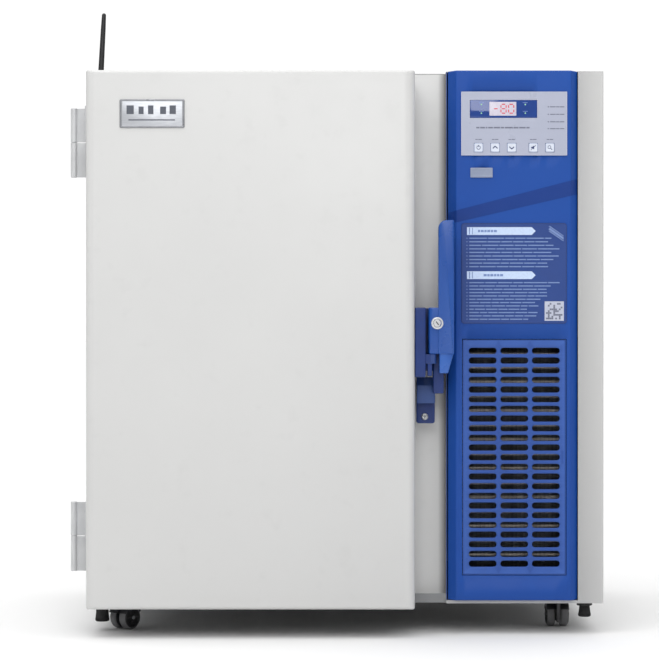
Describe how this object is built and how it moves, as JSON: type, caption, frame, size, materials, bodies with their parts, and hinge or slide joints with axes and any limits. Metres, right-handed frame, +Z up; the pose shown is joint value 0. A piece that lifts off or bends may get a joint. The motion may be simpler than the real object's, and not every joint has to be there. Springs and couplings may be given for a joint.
{
  "type": "laboratory ultra-low-temperature freezer",
  "caption": "Under-bench ultra-low-temperature laboratory freezer: insulated side-hinged door, blue machine-side panel with keys, slotted air grille, casters.",
  "frame": {"origin": "on the floor, under the middle of the whole object's outline seen from above", "axes": "+Z up, the door and the control panel face -Y, and +X is to the right of someone standing in front"},
  "size_m": [0.9334, 0.752, 1.1452],
  "materials": {
    "white_paint": "satin",
    "blue_plastic": "satin",
    "blue_metal": "satin",
    "overlay_film": "satin",
    "window_tint": "gloss",
    "key_white": "satin",
    "notice_blue": "satin",
    "grey_cover": "satin",
    "board_green": "satin",
    "stainless_steel": "satin",
    "hinge_grey": "satin",
    "badge_silver": "satin",
    "foam": "matte",
    "gasket_grey": "matte",
    "inner_white": "satin",
    "black_plastic": "matte",
    "caster_tread": "matte",
    "filter_black": "matte",
    "aluminium_fins": "satin",
    "compressor_black": "satin",
    "copper": "satin"
  },
  "bodies": {
    "cabinet": {"side_panel_left": "white_paint", "side_panel_right": "white_paint", "top_panel": "white_paint", "base_frame": "white_paint", "back_panel": "white_paint", "chamber_front": "white_paint", "insulation": "foam", "inner_liner": "stainless_steel", "shelf_lower": "stainless_steel", "shelf_upper": "stainless_steel", "front_panel": "blue_plastic", "control_overlay": "overlay_film", "display_window": "window_tint", "control_board": "board_green", "notice_plate": "notice_blue", "filter_mat": "filter_black", "condenser": "aluminium_fins", "fan_shroud": "stainless_steel", "fan_motor": "hinge_grey", "compressor_first_stage": "compressor_black", "compressor_second_stage": "compressor_black", "copper_pipework": "copper", "control_box": "stainless_steel", "mains_inlet": "black_plastic", "antenna_jack": "hinge_grey", "strike_bracket": "blue_metal", "hinge_cabinet_upper": "hinge_grey", "hinge_cabinet_lower": "hinge_grey"},
    "outer_door": {"door_skin": "white_paint", "door_foam": "foam", "door_liner": "inner_white", "door_gasket": "gasket_grey", "badge_plate": "badge_silver", "hinge_door_upper": "hinge_grey", "hinge_door_lower": "hinge_grey", "handle_bracket": "blue_metal"},
    "door_handle": {"handle_lever": "blue_plastic"},
    "door_lock": {"lock_barrel": "stainless_steel"},
    "upper_inner_door": {"inner_door_upper": "inner_white"},
    "lower_inner_door": {"inner_door_lower": "inner_white"},
    "air_grille": {"filter_grille": "blue_plastic"},
    "port_flap": {"port_cover": "grey_cover"},
    "fan": {"fan_rotor": "black_plastic"},
    "antenna_base": {"antenna_elbow": "black_plastic"},
    "antenna_rod": {"antenna_whip": "black_plastic"},
    "foot_left": {"levelling_foot_left": "black_plastic"},
    "foot_right": {"levelling_foot_right": "black_plastic"},
    "button_set": {"key_set": "key_white"},
    "button_up": {"key_up": "key_white"},
    "button_down": {"key_down": "key_white"},
    "button_mute": {"key_mute": "key_white"},
    "button_view": {"key_view": "key_white"},
    "caster_front_left": {"caster_body_front_left": "black_plastic"},
    "wheels_front_left": {"caster_wheels_front_left": "caster_tread"},
    "caster_front_right": {"caster_body_front_right": "black_plastic"},
    "wheels_front_right": {"caster_wheels_front_right": "caster_tread"},
    "caster_rear_left": {"caster_body_rear_left": "black_plastic"},
    "wheels_rear_left": {"caster_wheels_rear_left": "caster_tread"},
    "caster_rear_right": {"caster_body_rear_right": "black_plastic"},
    "wheels_rear_right": {"caster_wheels_rear_right": "caster_tread"}
  },
  "joints": [
    {"name": "door_swing", "type": "hinge", "parent": "cabinet", "child": "outer_door", "pos_m": [-0.46085, -0.299, 0.515], "axis": [0, 0, -1], "range_deg": [0, 130]},
    {"name": "handle_turn", "type": "hinge", "parent": "outer_door", "child": "door_handle", "pos_m": [0.16515, -0.358, 0.509], "axis": [0, 0, -1], "range_deg": [0, 60]},
    {"name": "lock_turn", "type": "hinge", "parent": "door_handle", "child": "door_lock", "pos_m": [0.17295, -0.37, 0.544], "axis": [0, 1, 0], "range_deg": [0, 90]},
    {"name": "upper_inner_door_swing", "type": "hinge", "parent": "cabinet", "child": "upper_inner_door", "pos_m": [-0.35585, -0.2685, 0.6697], "axis": [0, 0, -1], "range_deg": [0, 97.5]},
    {"name": "lower_inner_door_swing", "type": "hinge", "parent": "cabinet", "child": "lower_inner_door", "pos_m": [-0.35585, -0.2685, 0.3697], "axis": [0, 0, -1], "range_deg": [0, 97.5]},
    {"name": "grille_swing", "type": "hinge", "parent": "cabinet", "child": "air_grille", "pos_m": [0.21995, -0.317, 0.31035], "axis": [0, 0, -1], "range_deg": [0, 90]},
    {"name": "key_set_press", "type": "slide", "parent": "cabinet", "child": "button_set", "axis": [0, 1, 0], "range_m": [0, 0.0006], "stiffness_N_per_m": 1500},
    {"name": "key_up_press", "type": "slide", "parent": "cabinet", "child": "button_up", "axis": [0, 1, 0], "range_m": [0, 0.0006], "stiffness_N_per_m": 1500},
    {"name": "key_down_press", "type": "slide", "parent": "cabinet", "child": "button_down", "axis": [0, 1, 0], "range_m": [0, 0.0006], "stiffness_N_per_m": 1500},
    {"name": "key_mute_press", "type": "slide", "parent": "cabinet", "child": "button_mute", "axis": [0, 1, 0], "range_m": [0, 0.0006], "stiffness_N_per_m": 1500},
    {"name": "key_view_press", "type": "slide", "parent": "cabinet", "child": "button_view", "axis": [0, 1, 0], "range_m": [0, 0.0006], "stiffness_N_per_m": 1500},
    {"name": "port_flap_lift", "type": "hinge", "parent": "cabinet", "child": "port_flap", "pos_m": [0.252, -0.3243, 0.815], "axis": [-1, 0, 0], "range_deg": [0, 90]},
    {"name": "fan_spin", "type": "hinge", "parent": "cabinet", "child": "fan", "pos_m": [0.32965, -0.214, 0.305], "axis": [0, 1, 0], "continuous": true},
    {"name": "antenna_swivel", "type": "hinge", "parent": "cabinet", "child": "antenna_base", "pos_m": [-0.45955, 0.096, 0.935], "axis": [1, 0, 0], "continuous": true},
    {"name": "antenna_fold", "type": "hinge", "parent": "antenna_base", "child": "antenna_rod", "pos_m": [-0.45955, 0.096, 0.935], "axis": [0, -1, 0], "range_deg": [0, 87]},
    {"name": "caster_swivel_front_left", "type": "hinge", "parent": "cabinet", "child": "caster_front_left", "pos_m": [-0.36335, -0.214, 0.05], "axis": [0, 0, 1], "continuous": true},
    {"name": "wheels_spin_front_left", "type": "hinge", "parent": "caster_front_left", "child": "wheels_front_left", "pos_m": [-0.37749, -0.23085, 0.021], "axis": [-0.766, 0.6428, 0], "continuous": true},
    {"name": "caster_swivel_front_right", "type": "hinge", "parent": "cabinet", "child": "caster_front_right", "pos_m": [0.39665, -0.214, 0.05], "axis": [0, 0, 1], "continuous": true},
    {"name": "wheels_spin_front_right", "type": "hinge", "parent": "caster_front_right", "child": "wheels_front_right", "pos_m": [0.39665, -0.192, 0.021], "axis": [1, 0, 0], "continuous": true},
    {"name": "caster_swivel_rear_left", "type": "hinge", "parent": "cabinet", "child": "caster_rear_left", "pos_m": [-0.36335, 0.286, 0.05], "axis": [0, 0, 1], "continuous": true},
    {"name": "wheels_spin_rear_left", "type": "hinge", "parent": "caster_rear_left", "child": "wheels_rear_left", "pos_m": [-0.36904, 0.30725, 0.021], "axis": [0.9659, 0.2588, 0], "continuous": true},
    {"name": "caster_swivel_rear_right", "type": "hinge", "parent": "cabinet", "child": "caster_rear_right", "pos_m": [0.39665, 0.286, 0.05], "axis": [0, 0, 1], "continuous": true},
    {"name": "wheels_spin_rear_right", "type": "hinge", "parent": "caster_rear_right", "child": "wheels_rear_right", "pos_m": [0.40417, 0.30667, 0.021], "axis": [0.9397, -0.342, 0], "continuous": true},
    {"name": "foot_left_screw", "type": "slide", "parent": "cabinet", "child": "foot_left", "axis": [0, 0, 1], "range_m": [-0.015, 0]},
    {"name": "foot_right_screw", "type": "slide", "parent": "cabinet", "child": "foot_right", "axis": [0, 0, 1], "range_m": [-0.0265, 0]}
  ],
  "couplings": [
    {"joint": "upper_inner_door_swing", "follows": "door_swing", "ratio": 0.75},
    {"joint": "lower_inner_door_swing", "follows": "door_swing", "ratio": 0.75}
  ]
}
